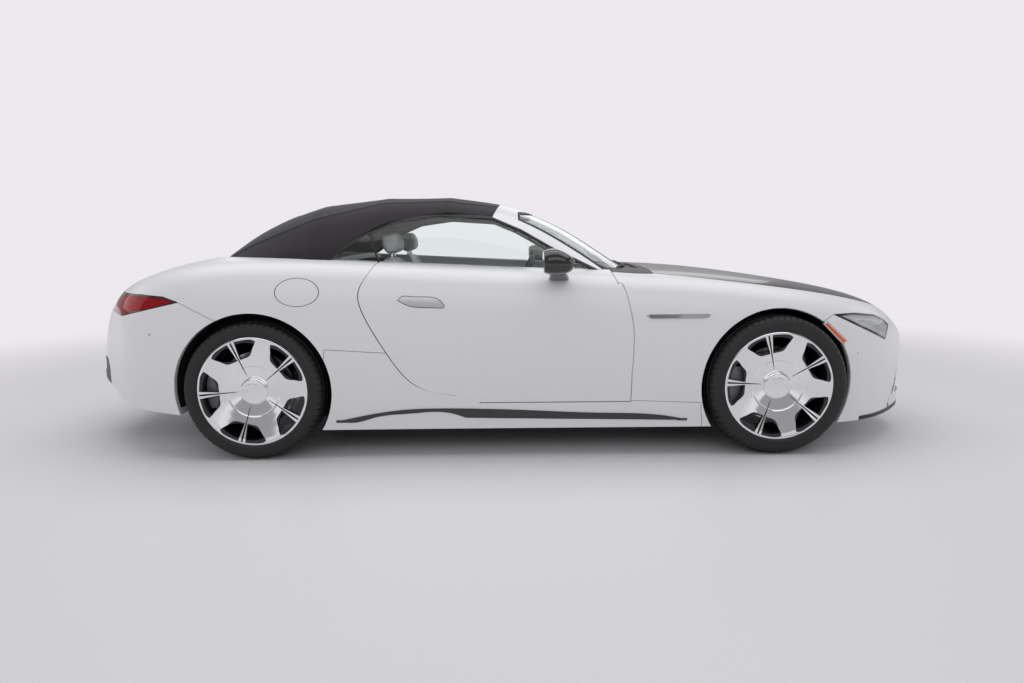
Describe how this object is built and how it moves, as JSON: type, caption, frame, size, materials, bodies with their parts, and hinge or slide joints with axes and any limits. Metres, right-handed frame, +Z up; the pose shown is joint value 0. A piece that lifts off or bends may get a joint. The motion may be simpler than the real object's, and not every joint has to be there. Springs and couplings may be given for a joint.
{
  "type": "roadster convertible",
  "caption": "Open two-seat car with closed fabric roof; doors, lids, steering and road wheels move.",
  "frame": {"origin": "on the ground at mid-length and mid-width", "axes": "+X to the nose, +Y to the car's left, +Z up"},
  "size_m": [4.705, 2.2, 1.359],
  "materials": {
    "body_paint": "gloss paint",
    "bonnet_paint": "dark gloss paint",
    "underbody": "satin",
    "dark_trim": "satin",
    "gloss_black": "gloss",
    "glass": "clear, slightly tinted",
    "roof_fabric": "woven",
    "headlamp_lens": "clear lens",
    "tail_lens": "gloss red lens",
    "bright_trim": "bright",
    "seat_leather": "pale leather",
    "cabin_trim": "soft touch",
    "cast_metal": "cast",
    "steel": "brushed",
    "wheel_metal": "polished",
    "tyre_rubber": "rubber"
  },
  "bodies": {
    "root": {"front_bumper": "body_paint", "fender_right": "body_paint", "fender_left": "body_paint", "quarter_right": "body_paint", "quarter_left": "body_paint", "rear_bumper": "body_paint", "tonneau_panel": "body_paint", "sill_right": "body_paint", "sill_left": "body_paint", "windscreen_frame": "body_paint", "tub": "underbody", "front_grille": "dark_trim", "rear_diffuser": "dark_trim", "cowl": "dark_trim", "fixed_glass": "glass", "soft_top": "roof_fabric", "front_lamps": "headlamp_lens", "tail_lamps": "tail_lens", "side_trims": "bright_trim", "seat_right": "seat_leather", "seat_left": "seat_leather", "dashboard": "cabin_trim", "engine_block": "cast_metal", "exhaust": "steel", "front_suspension": "cast_metal", "rear_suspension": "cast_metal"},
    "door_right": {"door_right": "body_paint", "door_glass_right": "glass", "mirror_right": "gloss_black"},
    "door_left": {"door_left": "body_paint", "door_glass_left": "glass", "mirror_left": "gloss_black"},
    "bonnet": {"bonnet": "bonnet_paint"},
    "boot_lid": {"boot_lid": "body_paint"},
    "knuckle_right": {"knuckle_right": "cast_metal"},
    "knuckle_left": {"knuckle_left": "cast_metal"},
    "steering_wheel": {"steering_wheel": "cabin_trim"},
    "wheel_front_right": {"rim_front_right": "wheel_metal", "tyre_front_right": "tyre_rubber"},
    "wheel_front_left": {"rim_front_left": "wheel_metal", "tyre_front_left": "tyre_rubber"},
    "wheel_rear_right": {"rim_rear_right": "wheel_metal", "tyre_rear_right": "tyre_rubber"},
    "wheel_rear_left": {"rim_rear_left": "wheel_metal", "tyre_rear_left": "tyre_rubber"}
  },
  "joints": [
    {"name": "door_right_hinge", "type": "hinge", "parent": "root", "child": "door_right", "pos_m": [0.5955, -0.895, 0.6], "axis": [0, 0, 1], "range_deg": [0, 65]},
    {"name": "door_left_hinge", "type": "hinge", "parent": "root", "child": "door_left", "pos_m": [0.5955, 0.895, 0.6], "axis": [0, 0, -1], "range_deg": [0, 65]},
    {"name": "bonnet_hinge", "type": "hinge", "parent": "root", "child": "bonnet", "pos_m": [0.7874, 0, 0.9625], "axis": [0, -1, 0], "range_deg": [0, 45]},
    {"name": "boot_lid_hinge", "type": "hinge", "parent": "root", "child": "boot_lid", "pos_m": [-1.6179, 0, 1.04], "axis": [0, 1, 0], "range_deg": [0, 70]},
    {"name": "steer_right", "type": "hinge", "parent": "root", "child": "knuckle_right", "pos_m": [1.4155, -0.78, 0.363], "axis": [0, 0, 1], "range_deg": [-34, 34]},
    {"name": "spin_front_right", "type": "hinge", "parent": "knuckle_right", "child": "wheel_front_right", "pos_m": [1.4155, -0.815, 0.363], "axis": [0, 1, 0], "continuous": true},
    {"name": "spin_rear_right", "type": "hinge", "parent": "root", "child": "wheel_rear_right", "pos_m": [-1.2845, -0.809, 0.358], "axis": [0, 1, 0], "continuous": true},
    {"name": "steer_left", "type": "hinge", "parent": "root", "child": "knuckle_left", "pos_m": [1.4155, 0.78, 0.363], "axis": [0, 0, 1], "range_deg": [-34, 34]},
    {"name": "spin_front_left", "type": "hinge", "parent": "knuckle_left", "child": "wheel_front_left", "pos_m": [1.4155, 0.815, 0.363], "axis": [0, 1, 0], "continuous": true},
    {"name": "spin_rear_left", "type": "hinge", "parent": "root", "child": "wheel_rear_left", "pos_m": [-1.2845, 0.809, 0.358], "axis": [0, 1, 0], "continuous": true},
    {"name": "steering_wheel_turn", "type": "hinge", "parent": "root", "child": "steering_wheel", "pos_m": [0.13, 0.37, 0.85], "axis": [-0.9063, 0, 0.4226], "range_deg": [-480, 480]}
  ],
  "couplings": [
    {"joint": "steer_left", "follows": "steer_right", "ratio": 1},
    {"joint": "steering_wheel_turn", "follows": "steer_right", "ratio": 12}
  ]
}
